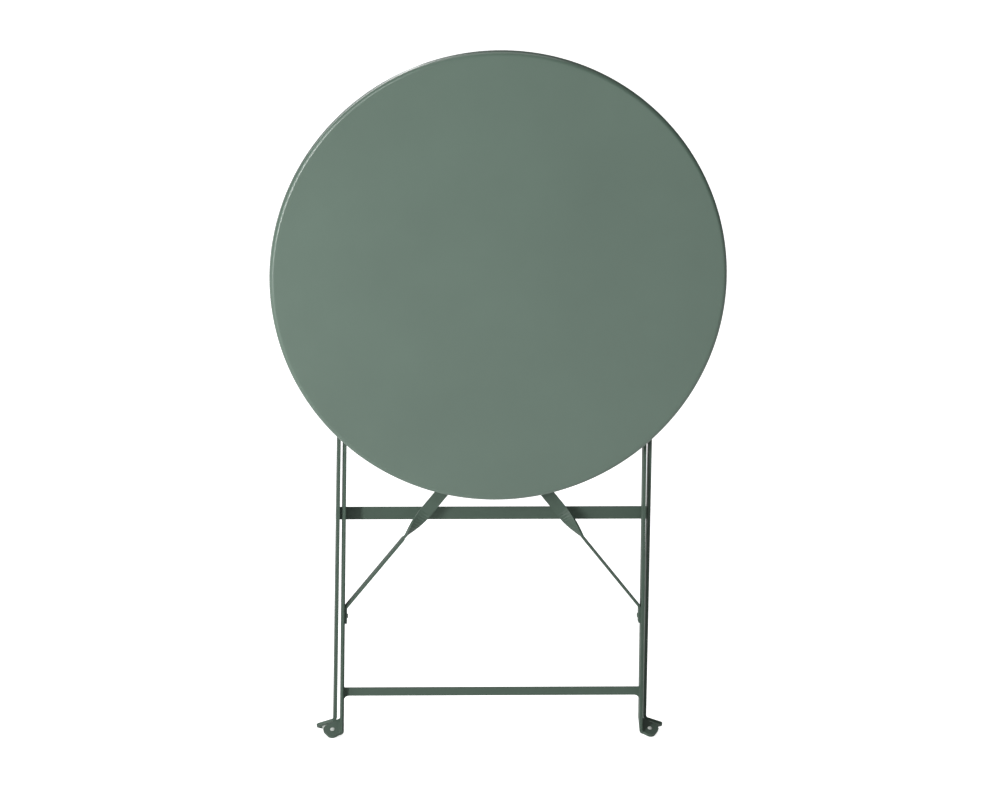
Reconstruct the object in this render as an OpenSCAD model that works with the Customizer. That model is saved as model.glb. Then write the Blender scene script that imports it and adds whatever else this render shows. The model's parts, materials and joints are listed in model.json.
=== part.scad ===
// Folding bistro table, stored upright with its two frames closed.
// Millimetres, +Z up. The round top stands on edge with its face towards -Y.
// Origin: middle of the bounding box, on the floor.

/* [Table top] */
// Diameter of the round top
top_d = 600; // [580:5:640]
// Depth of the turned-down rim, sheet included
rim_depth = 16; // [12:1:16]
// Thickness of the sheet
sheet_t = 1.5; // [1:0.5:2]
// Outer radius of the bend between face and rim
edge_r = 5.5; // [4:0.5:7]

/* [Frames] */
// Width over the outer legs
frame_w = 414; // [390:2:416]
// Thickness of the flat bar that the legs are made of
bar_t = 4; // [3.5:0.5:4.5]
// Depth of that bar, front to back
bar_w = 24; // [22:1:25]
// Gap between an outer leg and the inner leg beside it
leg_gap = 3.4; // [3:0.2:4]
// Height of the scissor pivot above the floor
pivot_h = 460; // [455:1:470]
// Upper arm, from the scissor pivot to the top bar
arm_up = 327; // [320:1:332]
// How far each frame leans when the table is open, in degrees
open_lean = 30; // [29:0.5:31]
// How far each frame still leans when it is folded, because the feet cross
fold_lean = 1.9; // [1.9:0.1:2.1]

/* [Bars and braces] */
// Height of the middle of the outer cross bar
cross_h = 294; // [285:1:310]
// Height of the middle of the lower bar
low_h = 60; // [52:1:72]
// Height of a brace's bend off its leg
brace_h = 174; // [162:1:186]
// Angle of a brace to the floor, in degrees
brace_angle = 50.8; // [49:0.2:52]
// Width of a brace
brace_w = 16; // [14:1:18]

/* [Feet] */
// Straight length of a foot, past its bend
foot_len = 20; // [18:1:24]
// How far a foot is bent off its leg, in degrees
foot_bend = 80; // [75:1:88]
// Radius of a foot's corners
foot_corner = 8; // [5:1:10]

/* [Hidden] */

sage = [0.43, 0.47, 0.43];
sage_dark = [0.37, 0.41, 0.37];
zinc = [0.70, 0.71, 0.72];
nylon = [0.16, 0.17, 0.17];
pad_grey = [0.78, 0.80, 0.78];

fine = 96;                              // facets of a visible round
small = 48;                             // facets of a rivet or bore
run = 0.05;                             // radial clearance of a running fit

outer_x = frame_w/2 - bar_t/2;          // middle of an outer leg's thickness
inner_x = outer_x - bar_t - leg_gap;    // middle of an inner leg's thickness
inner_face = inner_x - bar_t/2;         // the inner legs' faces towards each other
arm_top = pivot_h + arm_up;             // top pins' height on an upright frame
frame_y = 2.65;                         // legs' middle plane, so that the box is centred on Y

rod_r = 5;                              // pivot rod and inner top bar
pin_r = 4;                              // outer top pins
tenon_r = 3;                            // reduced ends that are peened into the legs
foot_h = 15.63;                         // middle of a foot's bend line on an upright frame
bend_r = 3;                             // inside radius of a foot's bend
mid_r = bend_r + bar_t/2;
glide_at = foot_len - 10.5;             // glide's place along a foot

pin_n = 21;                             // top pins and bar, from the underside of the sheet
top_y = frame_y - arm_up*sin(fold_lean) - pin_n;     // underside of the sheet
pin_z = pivot_h + arm_up*cos(fold_lean);             // top pins' height when folded
reach = arm_up*sin(open_lean);          // top pins from the middle of the open top
top_z = pin_z - reach;                  // centre of the top when folded

slide_gap = 0.3;
slider = [14.5, 16, 24];                // across, off the sheet, along
slider_x = frame_w/2 + 3.5;             // slider's near face
guide_t = 2;
guide_len = 2*reach + slider[2] + 4;
guide_x = slider_x - 1;                 // open edge of a guide's lips
web_x = slider_x + slider[0] + 1;       // near face of a guide's web
rivet_r = 2.5;
saddle_x = 150;
saddle_w = 22;

latch_at = [-16, 9];                    // latch pin from the seated top bar: along, off the sheet
latch_back = 110;                       // angle that the latch is thrown back when released
latch_t = 4;
latch_in = rod_r + 0.6;
latch_out = 10;

// ---- placing ----

// Turns a frame drawn upright to its folded lean: +1 outer, -1 inner
module frame_pose(turn) {
    translate([0, frame_y, pivot_h]) rotate([turn*fold_lean, 0, 0]) translate([0, 0, -pivot_h]) children();
}

// Frame of the top: X across, Y off the underside, Z up the folded top
module top_pose() {
    translate([0, top_y, top_z]) children();
}

module along_x(x) {
    translate([x, 0, 0]) rotate([0, 90, 0]) children();
}

module both_sides() {
    children();
    mirror([1, 0, 0]) children();
}

module left_side() {
    mirror([1, 0, 0]) children();
}

// A solid through rings of the same number of points, closed at both ends
module loft(rings) {
    k = len(rings[0]);
    n = len(rings);
    pts = [for (r = rings) each r];
    start = [[for (j = [0:k - 1]) j]];
    end = [[for (j = [k - 1:-1:0]) (n - 1)*k + j]];
    sides = [for (i = [0:n - 2], j = [0:k - 1])
        [i*k + j, (i + 1)*k + j, (i + 1)*k + (j + 1)%k, i*k + (j + 1)%k]];
    polyhedron(points = pts, faces = concat(start, end, sides), convexity = 4);
}

// ---- legs ----

// The bend below a leg, round a line that slopes across the bar; X outwards, Y along that line
module foot_bend_solid() {
    wide = bar_w/cos(open_lean);
    translate([mid_r, 0, 0]) rotate([0, 180, 0]) rotate([90, 0, 0])
        rotate_extrude(angle = foot_bend, $fn = fine) translate([bend_r, -wide/2]) square([bar_t, wide]);
}

// Flat part of a foot: the bar runs on at the slope of its bend line, to two round corners
module foot_outline(lean) {
    corner_x = foot_len - foot_corner;
    corner_y = bar_w/2 - foot_corner;
    intersection() {
        translate([-0.2, -60]) square([80, 120]);      // bites into the bend
        rotate(-lean) difference() {
            union() {
                translate([-40, -bar_w/2]) square([40 + corner_x, bar_w]);
                translate([corner_x - 1, -corner_y]) square([foot_corner + 1, 2*corner_y]);
                for (e = [-1, 1]) translate([corner_x, e*corner_y]) circle(r = foot_corner, $fn = fine);
            }
            translate([glide_at, 0]) circle(r = 2.1, $fn = small);
        }
    }
}

// Frame of a foot's plate: X outwards, Y along the bend line, Z up through the plate
module foot_pose(lean) {
    translate([0, 0, foot_h]) rotate([lean, 0, 0])
        translate([mid_r*(1 - cos(foot_bend)), 0, -mid_r*sin(foot_bend)])
            rotate([0, 90 - foot_bend, 0]) children();
}

// Right-hand leg drawn upright, its thickness centred on X = 0; lean is the slope of its bend line
module leg(lean) {
    drop = bar_w/2*tan(lean);
    difference() {
        union() {
            translate([-bar_t/2, 0, 0]) rotate([90, 0, 90]) linear_extrude(bar_t)
                polygon([[-bar_w/2, foot_h - drop], [bar_w/2, foot_h + drop],
                         [bar_w/2, arm_top], [-bar_w/2, arm_top]]);
            along_x(-bar_t/2) translate([-arm_top, 0, 0]) cylinder(r = bar_w/2, h = bar_t, $fn = fine);
            translate([0, 0, foot_h]) rotate([lean, 0, 0]) foot_bend_solid();
            foot_pose(lean) translate([0, 0, -bar_t/2]) linear_extrude(bar_t) foot_outline(lean);
        }
        along_x(-bar_t) translate([-pivot_h, 0, 0]) cylinder(r = rod_r + run, h = 2*bar_t, $fn = small);
        along_x(-bar_t) translate([-arm_top, 0, 0]) cylinder(r = tenon_r + run, h = 2*bar_t, $fn = small);
    }
}

// Brace rivet's hole through an inner leg
module brace_hole(r) {
    along_x(inner_face - 10) translate([-(brace_h - 12), 0, 0]) cylinder(r = r, h = 20, $fn = small);
}

module outer_leg_right() {
    color(sage) frame_pose(1) translate([outer_x, 0, 0]) leg(-open_lean);
}

module outer_leg_left() {
    left_side() outer_leg_right();
}

module inner_leg_right() {
    color(sage) frame_pose(-1) difference() {
        translate([inner_x, 0, 0]) leg(open_lean);
        brace_hole(2.05);
    }
}

module inner_leg_left() {
    left_side() inner_leg_right();
}

// A glide under a foot: a pad below, a stem through the plate and a button above
module glide(lean) {
    foot_pose(lean) rotate(-lean) translate([glide_at, 0, 0])
        rotate_extrude($fn = small)
            polygon([[0, -bar_t/2 - 3.2], [3.5, -bar_t/2 - 3.2], [5, -bar_t/2 - 2], [5, -bar_t/2],
                     [2, -bar_t/2], [2, bar_t/2], [3, bar_t/2], [2.6, bar_t/2 + 0.8],
                     [1.4, bar_t/2 + 1.3], [0, bar_t/2 + 1.4]]);
}

module outer_glides() {
    color(pad_grey) both_sides() frame_pose(1) translate([outer_x, 0, 0]) glide(-open_lean);
}

module inner_glides() {
    color(pad_grey) both_sides() frame_pose(-1) translate([inner_x, 0, 0]) glide(open_lean);
}

// ---- bars of the frames ----

// Flat bar welded across the back edges of the outer legs
module outer_cross_bar() {
    tall = 17;
    thick = 3;
    color(sage_dark) frame_pose(1)
        translate([-frame_w/2, bar_w/2, cross_h - tall/2]) cube([frame_w, thick, tall]);
}

// Flat bar between the inner legs, with a small gusset under each end
module inner_lower_bar() {
    tall = 10.5;
    thick = 5;
    gusset = 7;
    half = inner_face;
    color(sage) frame_pose(-1) translate([0, thick/2, low_h]) rotate([90, 0, 0]) linear_extrude(thick) {
        translate([-half, -tall/2]) square([2*half, tall]);
        for (e = [-1, 1]) scale([e, 1]) difference() {
            translate([half - gusset, -tall/2 - gusset]) square([gusset, gusset + 1]);
            translate([half - gusset, -tall/2 - gusset]) circle(r = gusset, $fn = small);
        }
    }
}

// Round bar between the tops of the inner legs
module inner_top_bar() {
    color(sage) frame_pose(-1) {
        along_x(-inner_face) translate([-arm_top, 0, 0]) cylinder(r = rod_r, h = 2*inner_face, $fn = small);
        along_x(-inner_face - bar_t) translate([-arm_top, 0, 0])
            cylinder(r = tenon_r, h = 2*inner_face + 2*bar_t, $fn = small);
    }
}

// Shouldered pins on the outer faces of the outer legs
module outer_top_pins() {
    shoulder = slider_x - 0.3 - frame_w/2;
    color(zinc) both_sides() frame_pose(1) translate([0, 0, arm_top]) {
        along_x(frame_w/2 - bar_t) cylinder(r = tenon_r, h = bar_t + 1, $fn = small);
        along_x(frame_w/2) cylinder(r = 6, h = shoulder, $fn = small);
        along_x(frame_w/2) cylinder(r = pin_r, h = web_x - 0.5 - frame_w/2, $fn = small);
    }
}

// ---- braces ----

brace_t = 3;
tab_len = 21;                           // flat tab against the leg
edge_len = 118;                         // edge-on stretch, to the start of the twist
twist_len = 46;
apex = inner_face - brace_t/2;          // the brace crosses X = 0 after this distance across
brace_run = apex/cos(brace_angle);
tail = 14;                              // past the crossing

// Ring of a brace: centre, the direction of its thickness, and how far it is turned about its run
function brace_ring(p, dir, turn) =
    let (across = [-sin(dir), 0, cos(dir)],
         wide = [across[0]*sin(turn), cos(turn), across[2]*sin(turn)],
         thin = [across[0]*cos(turn), -sin(turn), across[2]*cos(turn)])
    [for (c = [[-1, -1], [-1, 1], [1, 1], [1, -1]])
        p + c[0]*brace_w/2*wide + c[1]*brace_t/2*thin];

// Right-hand brace: up the leg, over at the bend, edge-on, then turned flat to the crossing
module brace(behind) {
    start = [apex, 0, brace_h];
    dir = 180 - brace_angle;
    slope = [cos(dir), 0, sin(dir)];
    twist_steps = 12;
    set = [0, behind*brace_t/2, 0];     // one brace passes behind the other
    difference() {
        loft([
            brace_ring([apex, 0, brace_h - tab_len], 90, 0),
            brace_ring([apex, 0, brace_h - 3], 90, 0),
            brace_ring(start + 0.6*slope, (90 + dir)/2, 0),
            brace_ring(start + 4*slope, dir, 0),
            for (i = [0:twist_steps])
                brace_ring(start + (edge_len + twist_len*i/twist_steps)*slope
                    + set*i/twist_steps, dir, 90*i/twist_steps),
            brace_ring(start + (brace_run + tail)*slope + set, dir, 90)
        ]);
        brace_hole(2.05);
        apex_hole(2.05);
    }
}

// Rivet's hole where the braces cross
module apex_hole(r) {
    translate([0, -10, brace_h + apex*tan(brace_angle)]) rotate([-90, 0, 0]) cylinder(r = r, h = 20, $fn = small);
}

module brace_right() {
    color(sage) frame_pose(-1) brace(1);
}

module brace_left() {
    color(sage) frame_pose(-1) left_side() brace(-1);
}

// Rivets: one through each tab and its leg, and one through the crossing
module brace_rivets() {
    head_r = 4;
    head_t = 1.6;
    color(sage) frame_pose(-1) {
        both_sides() translate([0, 0, brace_h - 12]) {
            along_x(inner_face - brace_t) cylinder(r = 2, h = brace_t + bar_t, $fn = small);
            along_x(inner_face - brace_t - head_t) cylinder(r1 = 2.5, r2 = head_r, h = head_t, $fn = small);
        }
        translate([0, 0, brace_h + apex*tan(brace_angle)]) rotate([-90, 0, 0]) {
            translate([0, 0, -brace_t]) cylinder(r = 2, h = 2*brace_t, $fn = small);
            translate([0, 0, -brace_t - head_t]) cylinder(r1 = 2.5, r2 = head_r, h = head_t, $fn = small);
            translate([0, 0, brace_t]) cylinder(r1 = head_r, r2 = 2.5, h = head_t, $fn = small);
        }
    }
}

// ---- scissor pivot ----

module pivot_rod() {
    color(sage_dark) translate([0, frame_y, pivot_h]) along_x(-frame_w/2 - 0.1)
        cylinder(r = rod_r, h = frame_w + 0.2, $fn = small);
}

module pivot_washers() {
    gap = 0.1;
    color(zinc) both_sides() translate([0, frame_y, pivot_h])
        along_x(inner_x + bar_t/2 + gap) difference() {
            cylinder(r = 9, h = leg_gap - 2*gap, $fn = small);
            translate([0, 0, -1]) cylinder(r = rod_r, h = leg_gap + 2, $fn = small);
        }
}

// Thin peened heads on the ends of the rod
module pivot_heads() {
    color(sage_dark) both_sides() translate([0, frame_y, pivot_h])
        along_x(frame_w/2 + 0.1) cylinder(r1 = 8, r2 = 6, h = 1.6, $fn = small);
}

// ---- round top ----

// Half section of the pan: flat face, rounded edge and rim with a small inward hem
module pan_section() {
    r = top_d/2;
    steps = 12;
    hem = 2.5;
    outer = [for (i = [0:steps]) let (a = 90*i/steps)
        [r - edge_r + edge_r*sin(a), -sheet_t + edge_r - edge_r*cos(a)]];
    inner = [for (i = [steps:-1:0]) let (a = 90*i/steps)
        [r - edge_r + (edge_r - sheet_t)*sin(a), -sheet_t + edge_r - (edge_r - sheet_t)*cos(a)]];
    foot = rim_depth - sheet_t;
    polygon(concat([[0, -sheet_t]], outer,
        [[r, foot - 1], [r - 1, foot], [r - hem, foot], [r - hem, foot - sheet_t], [r - sheet_t, foot - sheet_t]],
        inner, [[0, 0]]));
}

module tabletop() {
    color(sage) top_pose() rotate([-90, 0, 0]) rotate_extrude($fn = 180) difference() {
        pan_section();
        translate([-1, -50]) square([1, 100]);
    }
}

// C-shaped channel along the underside; its lips hold the slider
module guide_right() {
    half = slider[1]/2 + slide_gap;
    low = pin_n - half - guide_t;
    high = pin_n + half + guide_t;
    lip = web_x - guide_x + guide_t;
    color(zinc) top_pose() translate([0, 0, -guide_len/2]) linear_extrude(guide_len) {
        translate([web_x, 0]) square([guide_t, high]);
        for (n = [0, low, high - guide_t]) translate([guide_x, n]) square([lip, guide_t]);
    }
}

module guide_left() {
    left_side() guide_right();
}

// Rivets that hold both guides to the sheet
module guide_rivets() {
    color(zinc) both_sides() top_pose() for (k = [-1, 0, 1])
        translate([(guide_x + web_x)/2, guide_t, k*reach*0.8]) rotate([-90, 0, 0])
            cylinder(r1 = 2*rivet_r, r2 = rivet_r, h = 2, $fn = small);
}

// Nylon block that turns on an outer top pin and runs in its guide
module slider_right() {
    color(nylon) translate([slider_x, frame_y - arm_up*sin(fold_lean), pin_z]) difference() {
        translate([0, -slider[1]/2, -slider[2]/2]) cube(slider);
        along_x(-1) cylinder(r = pin_r + run, h = slider[0] + 2, $fn = small);
    }
}

module slider_left() {
    left_side() slider_right();
}

// Seat for the inner top bar: a floor under it and a wall on the far side, open towards the middle
module saddle_right() {
    wall = 1.3;
    floor_n = pin_n - rod_r - 0.3;
    color(zinc) top_pose() translate([saddle_x - saddle_w/2, 0, reach]) rotate([90, 0, 90])
        linear_extrude(saddle_w) polygon([
            [0, -12], [2, -12], [2, -8], [floor_n, -6], [floor_n, rod_r + wall],
            [pin_n + 4, rod_r + wall], [pin_n + 5, rod_r + wall + 1], [pin_n + 5, rod_r + wall + 4],
            [2, rod_r + wall + 8], [2, 25.5], [0, 25.5]]);
}

module saddle_left() {
    left_side() saddle_right();
}

module saddle_rivets() {
    color(zinc) both_sides() top_pose() for (dx = [-5.5, 5.5])
        translate([saddle_x + dx, 2, reach + 20]) rotate([-90, 0, 0])
            cylinder(r1 = 2*rivet_r, r2 = rivet_r, h = 2, $fn = small);
}

// ---- latch ----

// Frame of the latch pin: X along the pin, Y off the sheet, Z up the folded top
module latch_pose() {
    top_pose() translate([0, latch_at[1], reach - latch_at[0]]) children();
}

module latch_bracket() {
    cheek = 2;
    side = latch_t/2 + 0.3;
    pad = 14;
    color(zinc) {
        latch_pose() for (x = [-side - cheek, side]) difference() {
            union() {
                translate([x, -latch_at[1], -5]) cube([cheek, latch_at[1], 10]);
                along_x(x) cylinder(r = 5, h = cheek, $fn = small);
            }
            along_x(x - 1) cylinder(r = 2 + run, h = cheek + 2, $fn = small);
        }
        top_pose() translate([-pad, 0, reach - latch_at[0] - 5]) difference() {
            cube([2*pad, 1.5, 10]);
            for (e = [-1, 1]) translate([pad + e*10, -1, 5]) rotate([-90, 0, 0])
                cylinder(r = 2, h = 4, $fn = small);
        }
    }
}

module latch_pin() {
    color(zinc) latch_pose() along_x(-6) {
        cylinder(r = 2, h = 12, $fn = small);
        cylinder(r = 3.2, h = 1.2, $fn = small);
        translate([0, 0, 10.8]) cylinder(r = 3.2, h = 1.2, $fn = small);
    }
}

// Hook that swings over the seated top bar; drawn thrown back
module latch() {
    seat = [pin_n - latch_at[1], latch_at[0]];      // bar from pin: off the sheet, up the folded top
    away = atan2(seat[1], seat[0]);
    dist = norm(seat);
    eye_r = 5;
    tip = 76;                                       // end of the hook, round the bar from the arm
    color(sage_dark) latch_pose() rotate([latch_back, 0, 0]) translate([-latch_t/2, 0, 0])
        rotate([90, 0, 90]) linear_extrude(latch_t) rotate(away) difference() {
            union() {
                circle(r = eye_r, $fn = small);
                translate([0, -3]) square([dist - latch_in, 6]);
                translate([dist, 0]) intersection() {
                    circle(r = latch_out, $fn = small);
                    rotate(-tip) translate([-2*latch_out, -latch_out]) square([2*latch_out, 2*latch_out]);
                }
            }
            circle(r = 2 + run, $fn = small);
            translate([dist, 0]) circle(r = latch_in, $fn = small);
        }
}

tabletop();
guide_left();
guide_right();
guide_rivets();
saddle_left();
saddle_right();
saddle_rivets();
latch_bracket();
latch_pin();
latch();
slider_left();
slider_right();
outer_leg_left();
outer_leg_right();
outer_cross_bar();
outer_top_pins();
outer_glides();
inner_leg_left();
inner_leg_right();
inner_lower_bar();
inner_top_bar();
brace_left();
brace_right();
brace_rivets();
inner_glides();
pivot_rod();
pivot_washers();
pivot_heads();
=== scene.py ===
import json
import math

import bmesh
import bpy
from mathutils import Matrix, Vector


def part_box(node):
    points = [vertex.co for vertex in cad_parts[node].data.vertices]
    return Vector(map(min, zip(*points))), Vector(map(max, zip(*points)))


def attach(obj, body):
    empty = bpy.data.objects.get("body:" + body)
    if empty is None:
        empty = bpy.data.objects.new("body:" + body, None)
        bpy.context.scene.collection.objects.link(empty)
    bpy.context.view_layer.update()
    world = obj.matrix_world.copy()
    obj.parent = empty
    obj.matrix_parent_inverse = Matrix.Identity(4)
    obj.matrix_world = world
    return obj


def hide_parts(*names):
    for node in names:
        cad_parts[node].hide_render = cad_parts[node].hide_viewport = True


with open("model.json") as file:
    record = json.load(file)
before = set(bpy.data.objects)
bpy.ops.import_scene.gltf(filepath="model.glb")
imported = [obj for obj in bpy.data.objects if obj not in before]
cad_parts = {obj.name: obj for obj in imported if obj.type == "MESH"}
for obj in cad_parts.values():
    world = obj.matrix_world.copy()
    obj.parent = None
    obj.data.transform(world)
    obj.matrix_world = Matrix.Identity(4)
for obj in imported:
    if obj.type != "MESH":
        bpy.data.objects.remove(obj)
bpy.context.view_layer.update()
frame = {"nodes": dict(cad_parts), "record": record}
MM = 0.001

# Camera, as the photograph was taken: a long lens, a little above and to the left, slightly rolled
CAM_AZIMUTH = -4.3
CAM_ELEVATION = 12.83
CAM_ROLL = 0.85
CAM_DISTANCE = 15.0
CAM_TARGET = (0.0062, 0.0, 0.4519)
PIXELS_PER_METRE = 761.2
FRAME_PIXELS = 1000
SENSOR_MM = 36.0

# Studio, in metres and watts
FLOOR_HALF = 30.0
FLOOR_GLOW_ON_TABLE = 0.25
FLOOR_GLOW_TO_CAMERA = 0.84
WORLD_FILL = 0.07

# Linear colours
TOP_GREEN = (0.100, 0.152, 0.119)
FRAME_GREEN = (0.060, 0.096, 0.072)
ZINC_DARK = (0.50, 0.52, 0.54)
ZINC_LIGHT = (0.64, 0.66, 0.68)
NYLON_BLACK = (0.020, 0.021, 0.022)
GLIDE_GREY = (0.55, 0.58, 0.55)
PAPER_WHITE = (1.0, 1.0, 1.0, 1.0)

# Section of the pan-shaped top
SHEET = 1.5 * MM
EDGE_R = 5.5 * MM
HEM_R = 1.3 * MM
HUB_R = 0.5 * MM        # the middle of each face is closed by a facet this small
TURNS = 256

# Weld beads
WELD_R = 1.3 * MM
WELD_RIPPLE = 1.6 * MM
WELD_SIDES = 10
WELD_STEPS = 4          # rings to a ripple

# Rounds on the sharp edges of the CAD nodes, in millimetres
EDGE_BREAK = {
    "outer_leg_left": 0.7, "outer_leg_right": 0.7, "inner_leg_left": 0.7, "inner_leg_right": 0.7,
    "outer_cross_bar": 0.6, "inner_lower_bar": 0.8,
    "guide_left": 0.4, "guide_right": 0.4, "saddle_left": 0.8, "saddle_right": 0.8,
    "slider_left": 0.8, "slider_right": 0.8, "latch": 0.5, "latch_bracket": 0.3,
}
SHARP_FROM = math.radians(28.0)


# ---- camera, light and floor ----

def view_axes(azimuth, elevation, roll):
    """The camera's right, up and forward directions, from angles in degrees."""
    a, e, r = (math.radians(v) for v in (azimuth, elevation, roll))
    forward = Vector((-math.sin(a) * math.cos(e), math.cos(a) * math.cos(e), -math.sin(e)))
    right = Vector((math.cos(a), math.sin(a), 0.0))
    up = right.cross(forward)
    return (math.cos(r) * right + math.sin(r) * up, math.cos(r) * up - math.sin(r) * right, forward)


def make_camera():
    right, up, forward = view_axes(CAM_AZIMUTH, CAM_ELEVATION, CAM_ROLL)
    data = bpy.data.cameras.new("camera")
    data.sensor_width = SENSOR_MM
    data.lens = PIXELS_PER_METRE * CAM_DISTANCE * SENSOR_MM / FRAME_PIXELS
    data.clip_start = 0.1
    data.clip_end = 100.0
    camera = bpy.data.objects.new("camera", data)
    turn = Matrix((right, up, -forward)).transposed().to_4x4()
    camera.matrix_world = Matrix.Translation(Vector(CAM_TARGET) - CAM_DISTANCE * forward) @ turn
    bpy.context.collection.objects.link(camera)
    bpy.context.scene.camera = camera


def area_light(name, place, aim, size, power):
    data = bpy.data.lights.new(name, "AREA")
    data.shape = "RECTANGLE"
    data.size, data.size_y = size
    data.energy = power
    light = bpy.data.objects.new(name, data)
    light.location = place
    light.rotation_euler = (Vector(aim) - Vector(place)).to_track_quat("-Z", "Y").to_euler()
    bpy.context.collection.objects.link(light)


def make_world():
    """White to the camera, and a dim even fill to everything else."""
    world = bpy.data.worlds.new("studio")
    world.use_nodes = True
    tree = world.node_tree
    tree.nodes.clear()
    out = tree.nodes.new("ShaderNodeOutputWorld")
    mix = tree.nodes.new("ShaderNodeMixShader")
    path = tree.nodes.new("ShaderNodeLightPath")
    fill = tree.nodes.new("ShaderNodeBackground")
    seen = tree.nodes.new("ShaderNodeBackground")
    fill.inputs["Color"].default_value = (0.95, 1.0, 0.98, 1.0)
    fill.inputs["Strength"].default_value = WORLD_FILL
    seen.inputs["Color"].default_value = PAPER_WHITE
    seen.inputs["Strength"].default_value = 1.0
    tree.links.new(path.outputs["Is Camera Ray"], mix.inputs["Fac"])
    tree.links.new(fill.outputs["Background"], mix.inputs[1])
    tree.links.new(seen.outputs["Background"], mix.inputs[2])
    tree.links.new(mix.outputs["Shader"], out.inputs["Surface"])
    bpy.context.scene.world = world


def make_floor():
    """A pale matt floor that is bright to the camera and dimmer to the table."""
    mesh = bpy.data.meshes.new("floor")
    corners = [(x * FLOOR_HALF, y * FLOOR_HALF, 0) for x, y in ((-1, -1), (1, -1), (1, 1), (-1, 1))]
    mesh.from_pydata(corners, [], [(0, 1, 2, 3)])
    floor = bpy.data.objects.new("floor", mesh)
    bpy.context.collection.objects.link(floor)
    mat = bpy.data.materials.new("pale_floor")
    mat.use_nodes = True
    tree = mat.node_tree
    bsdf = tree.nodes["Principled BSDF"]
    bsdf.inputs["Base Color"].default_value = (0.86, 0.86, 0.86, 1.0)
    bsdf.inputs["Roughness"].default_value = 0.9
    bsdf.inputs["Specular IOR Level"].default_value = 0.1
    bsdf.inputs["Emission Color"].default_value = PAPER_WHITE
    path = tree.nodes.new("ShaderNodeLightPath")
    glow = tree.nodes.new("ShaderNodeMapRange")
    glow.inputs["To Min"].default_value = FLOOR_GLOW_ON_TABLE
    glow.inputs["To Max"].default_value = FLOOR_GLOW_TO_CAMERA
    tree.links.new(path.outputs["Is Camera Ray"], glow.inputs["Value"])
    tree.links.new(glow.outputs["Result"], bsdf.inputs["Emission Strength"])
    mesh.materials.append(mat)


# ---- materials ----

class Paint:
    """A node material with helpers for its procedural textures."""

    def __init__(self, name):
        self.mat = bpy.data.materials.new(name)
        self.mat.use_nodes = True
        self.tree = self.mat.node_tree
        self.bsdf = self.tree.nodes["Principled BSDF"]
        self.place = self.tree.nodes.new("ShaderNodeTexCoord").outputs["Object"]

    def noise(self, scale, detail=3.0, rough=0.55):
        n = self.tree.nodes.new("ShaderNodeTexNoise")
        n.inputs["Scale"].default_value = scale
        n.inputs["Detail"].default_value = detail
        n.inputs["Roughness"].default_value = rough
        self.tree.links.new(self.place, n.inputs["Vector"])
        return n.outputs["Fac"]

    def ramp(self, fac, stops):
        """stops: (position, colour or grey value), two or more."""
        n = self.tree.nodes.new("ShaderNodeValToRGB")
        while len(n.color_ramp.elements) < len(stops):
            n.color_ramp.elements.new(0.5)
        for e, (pos, value) in zip(n.color_ramp.elements, stops):
            e.position = pos
            e.color = (*value, 1.0) if isinstance(value, tuple) else (value, value, value, 1.0)
        self.tree.links.new(fac, n.inputs["Fac"])
        return n.outputs["Color"]

    def bump(self, heights):
        """heights: (texture, strength, distance in metres), from the coarsest to the finest."""
        last = None
        for fac, strength, distance in heights:
            b = self.tree.nodes.new("ShaderNodeBump")
            b.inputs["Strength"].default_value = strength
            b.inputs["Distance"].default_value = distance
            self.tree.links.new(fac, b.inputs["Height"])
            if last is not None:
                self.tree.links.new(last, b.inputs["Normal"])
            last = b.outputs["Normal"]
        self.tree.links.new(last, self.bsdf.inputs["Normal"])

    def feed(self, socket, output):
        self.tree.links.new(output, self.bsdf.inputs[socket])

    def set(self, **values):
        for socket, value in values.items():
            self.bsdf.inputs[socket.replace("_", " ")].default_value = value


def shade(colour, factor):
    return tuple(c * factor for c in colour)


def powder_coat(name, colour, rough, gloss):
    """Satin powder coat: fine orange peel, faint clouding in colour and gloss."""
    p = Paint(name)
    cloud = p.noise(6.0, detail=4.0)
    patches = p.noise(38.0)
    flow = p.noise(260.0, detail=2.0)
    peel = p.noise(1150.0, detail=2.0)
    p.feed("Base Color", p.ramp(cloud, [(0.3, shade(colour, 0.95)), (0.7, shade(colour, 1.05))]))
    p.feed("Roughness", p.ramp(patches, [(0.3, rough - 0.04), (0.7, rough + 0.05)]))
    p.bump([(flow, 0.10, 0.4 * MM), (peel, 0.16, 0.1 * MM)])
    p.set(Specular_IOR_Level=0.45, Coat_Weight=gloss, Coat_Roughness=0.14)
    return p.mat


def zinc_plate(name):
    """Bright zinc on rolled steel: spangled gloss and fine rolling marks."""
    p = Paint(name)
    cells = p.tree.nodes.new("ShaderNodeTexVoronoi")
    cells.inputs["Scale"].default_value = 320.0
    p.tree.links.new(p.place, cells.inputs["Vector"])
    p.feed("Base Color", p.ramp(cells.outputs["Distance"], [(0.0, ZINC_DARK), (0.9, ZINC_LIGHT)]))
    p.feed("Roughness", p.ramp(p.noise(60.0, detail=4.0), [(0.3, 0.28), (0.7, 0.46)]))
    p.bump([(p.noise(500.0), 0.12, 0.2 * MM)])
    p.set(Metallic=1.0)
    return p.mat


def moulded_plastic(name, colour, rough):
    """Moulded plastic: slight mottling and a fine spark-eroded grain."""
    p = Paint(name)
    p.feed("Base Color", p.ramp(p.noise(45.0), [(0.3, shade(colour, 0.9)), (0.7, shade(colour, 1.1))]))
    p.feed("Roughness", p.ramp(p.noise(120.0), [(0.3, rough - 0.05), (0.7, rough + 0.07)]))
    p.bump([(p.noise(1800.0, detail=2.0), 0.2, 0.08 * MM)])
    return p.mat


# ---- meshes ----

def new_piece(name, mesh, mat, body):
    """A new object with one material, on its body."""
    piece = bpy.data.objects.new(name, mesh)
    bpy.context.collection.objects.link(piece)
    mesh.materials.clear()
    mesh.materials.append(mat)
    for poly in mesh.polygons:
        poly.material_index = 0
    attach(piece, body)
    return piece


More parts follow.
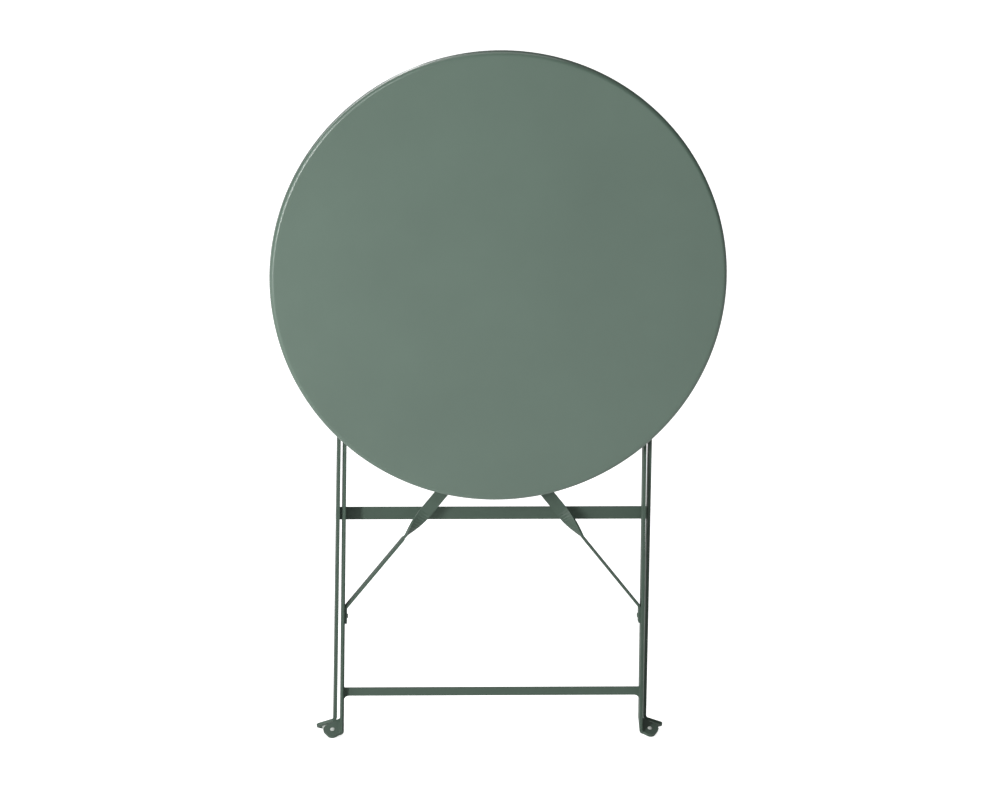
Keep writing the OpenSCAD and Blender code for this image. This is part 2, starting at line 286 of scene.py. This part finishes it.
def soften(mesh, sharp=32.0):
    """Smooth shading, broken where faces meet at more than this many degrees."""
    mesh.shade_smooth()
    mesh.set_sharp_from_angle(angle=math.radians(sharp))


def weigh_normals(piece):
    """Keeps large faces flat beside their small rounds."""
    mod = piece.modifiers.new("flat faces", "WEIGHTED_NORMAL")
    mod.keep_sharp = True


def rounded_part(node, radius, mat, body):
    """The CAD node's own shape with its sharp edges broken by a small round."""
    source = frame["nodes"][node]
    bm = bmesh.new()
    bm.from_mesh(source.data)
    bm.transform(source.matrix_world)
    bmesh.ops.remove_doubles(bm, verts=bm.verts, dist=0.02 * MM)
    bmesh.ops.dissolve_limit(bm, angle_limit=math.radians(0.6), verts=bm.verts, edges=bm.edges)
    edges = [e for e in bm.edges if len(e.link_faces) == 2 and e.calc_face_angle(0.0) > SHARP_FROM]
    bmesh.ops.bevel(bm, geom=edges, offset=radius, offset_type="OFFSET", segments=2, profile=0.55,
                    affect="EDGES", clamp_overlap=True)
    bmesh.ops.recalc_face_normals(bm, faces=bm.faces)
    mesh = bpy.data.meshes.new(node + "_rounded")
    bm.to_mesh(mesh)
    bm.free()
    soften(mesh)
    piece = new_piece(node + "_rounded", mesh, mat, body)
    weigh_normals(piece)
    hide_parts(node)


def ring_mesh(name, rings):
    """A skin over rings of points, closed at both ends."""
    bm = bmesh.new()
    loops = [[bm.verts.new(p) for p in ring] for ring in rings]
    count = len(rings[0])
    for a, b in zip(loops, loops[1:]):
        for j in range(count):
            bm.faces.new((a[j], a[(j + 1) % count], b[(j + 1) % count], b[j]))
    bm.faces.new(loops[0])
    bm.faces.new(list(reversed(loops[-1])))
    bmesh.ops.recalc_face_normals(bm, faces=bm.faces)
    mesh = bpy.data.meshes.new(name)
    bm.to_mesh(mesh)
    bm.free()
    soften(mesh, 50.0)
    return mesh


# ---- round top ----

def arc(cx, cy, r, start, end, steps):
    """Points on an arc between two angles in degrees."""
    turns = [math.radians(start + (end - start) * i / steps) for i in range(steps + 1)]
    return [(cx + r * math.cos(a), cy + r * math.sin(a)) for a in turns]


def top_profile(radius, depth):
    """Half section as (radius, distance behind the face): face, bent edge, rolled hem, underside."""
    flat_r = radius - 1.8 * EDGE_R
    face = [(HUB_R, 0.0), (0.3 * radius, 0.0), (0.7 * radius, 0.0), (flat_r, 0.0)]
    bend = arc(radius - EDGE_R, EDGE_R, EDGE_R, -90, 0, 10)
    hem = arc(radius - HEM_R, depth - HEM_R, HEM_R, 0, 230, 12)
    inner = arc(radius - EDGE_R, EDGE_R, EDGE_R - SHEET, 0, -90, 8)
    under = [(flat_r, SHEET), (0.6 * radius, SHEET), (HUB_R, SHEET)]
    return face + bend + hem + inner + under


def make_top(mat):
    low, high = (Vector(v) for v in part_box("tabletop"))
    radius = (high.x - low.x) / 2
    mid_x, mid_z = (high.x + low.x) / 2, (high.z + low.z) / 2
    turns = [2 * math.pi * i / TURNS for i in range(TURNS)]
    rings = [[(mid_x + r * math.cos(a), low.y + back, mid_z + r * math.sin(a)) for a in turns]
             for r, back in top_profile(radius, high.y - low.y)]
    piece = new_piece("top_sheet", ring_mesh("top_sheet", rings), mat, "round_top")
    weigh_normals(piece)
    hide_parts("tabletop")


# ---- welds ----

def weld_bead(name, start, end, mat, body):
    """A short fillet weld: a run of overlapping ripples between two points, thinner at its ends."""
    a, b = Vector(start), Vector(end)
    run = b - a
    ripples = max(4, int(run.length / WELD_RIPPLE))
    along = run.normalized()
    side = along.orthogonal().normalized()
    up = along.cross(side)
    turns = [2 * math.pi * k / WELD_SIDES for k in range(WELD_SIDES)]
    rings = []
    steps = ripples * WELD_STEPS
    for i in range(steps + 1):
        t = i / steps
        swell = 0.86 + 0.14 * abs(math.cos(math.pi * t * ripples))
        taper = min(1.0, 6.0 * t + 0.25, 6.0 * (1.0 - t) + 0.25)
        r = WELD_R * swell * taper
        wander = 0.12 * WELD_R * math.sin(9.0 * t + 2.0)
        c = a + run * t + side * wander
        rings.append([c + r * (math.cos(k) * side + math.sin(k) * up) for k in turns])
    new_piece(name, ring_mesh(name, rings), mat, body)


def make_cross_bar_welds(mat):
    """One upright bead at each end of the cross bar, on the legs' back edges."""
    low, high = (Vector(v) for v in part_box("outer_cross_bar"))
    inset = 4.0 * MM
    end_gap = 2.0 * MM
    for side, x in (("left", low.x + inset), ("right", high.x - inset)):
        bottom = (x, low.y + 0.6 * MM, low.z + end_gap)
        top = (x, low.y + 0.2 * MM, high.z - end_gap)
        weld_bead("cross_weld_" + side, bottom, top, mat, "outer_frame")


def make_low_bar_welds(mat):
    """Beads round each end of the low bar: front, back and a short one on top."""
    low, high = (Vector(v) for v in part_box("inner_lower_bar"))
    mid_y = (low.y + high.y) / 2
    end_gap = 2.0 * MM
    bead_foot = 14.0 * MM
    for side, x in (("left", low.x), ("right", high.x)):
        for face, y in (("front", low.y + 0.4 * MM), ("back", high.y - 0.4 * MM)):
            weld_bead("low_weld_%s_%s" % (side, face), (x, y, high.z - end_gap), (x, y, high.z - bead_foot),
                      mat, "inner_frame")
        weld_bead("low_weld_%s_top" % side, (x, mid_y - end_gap, high.z), (x, mid_y + end_gap, high.z),
                  mat, "inner_frame")


# ---- build ----

make_camera()
make_world()
make_floor()
area_light("key_strip", (-2.35, -3.2, 1.15), (-0.2, 0, 0.7), (0.35, 2.1), 104)
area_light("side_left", (-3.3, -1.6, 2.0), (0, 0, 0.55), (1.0, 2.0), 30)
area_light("front_fill", (-1.3, -2.1, 2.3), (-0.1, 0, 0.7), (1.0, 0.8), 11)
area_light("back_fill", (-2.0, 4.5, 3.0), (0, 0, 0.5), (3.5, 2.5), 95)
area_light("overhead", (0.0, 0.6, 4.2), (0, 0, 0.5), (3.0, 3.0), 38)
bpy.context.scene.view_settings.view_transform = "Standard"

looks = {
    "top_paint": powder_coat("top_powder_coat", TOP_GREEN, rough=0.44, gloss=0.6),
    "frame_paint": powder_coat("frame_powder_coat", FRAME_GREEN, rough=0.56, gloss=0.0),
    "zinc": zinc_plate("zinc_plate"),
    "nylon": moulded_plastic("black_nylon", NYLON_BLACK, rough=0.5),
    "glide": moulded_plastic("glide_plastic", GLIDE_GREY, rough=0.45),
}
body_of_node = {n: b for b, nodes in frame["record"]["behaviour"]["bodies"].items() for n in nodes}
slot_of_node = {p["node"]: p["material_slot"] for p in frame["record"]["subparts"]}

for name, node in frame["nodes"].items():
    slot = slot_of_node[name]
    if name == "tabletop":
        make_top(looks[slot])
    elif name in EDGE_BREAK:
        rounded_part(name, EDGE_BREAK[name] * MM, looks[slot], body_of_node[name])
    else:
        for material_slot in node.material_slots:
            material_slot.material = looks[slot]
make_cross_bar_welds(looks["frame_paint"])
make_low_bar_welds(looks["frame_paint"])
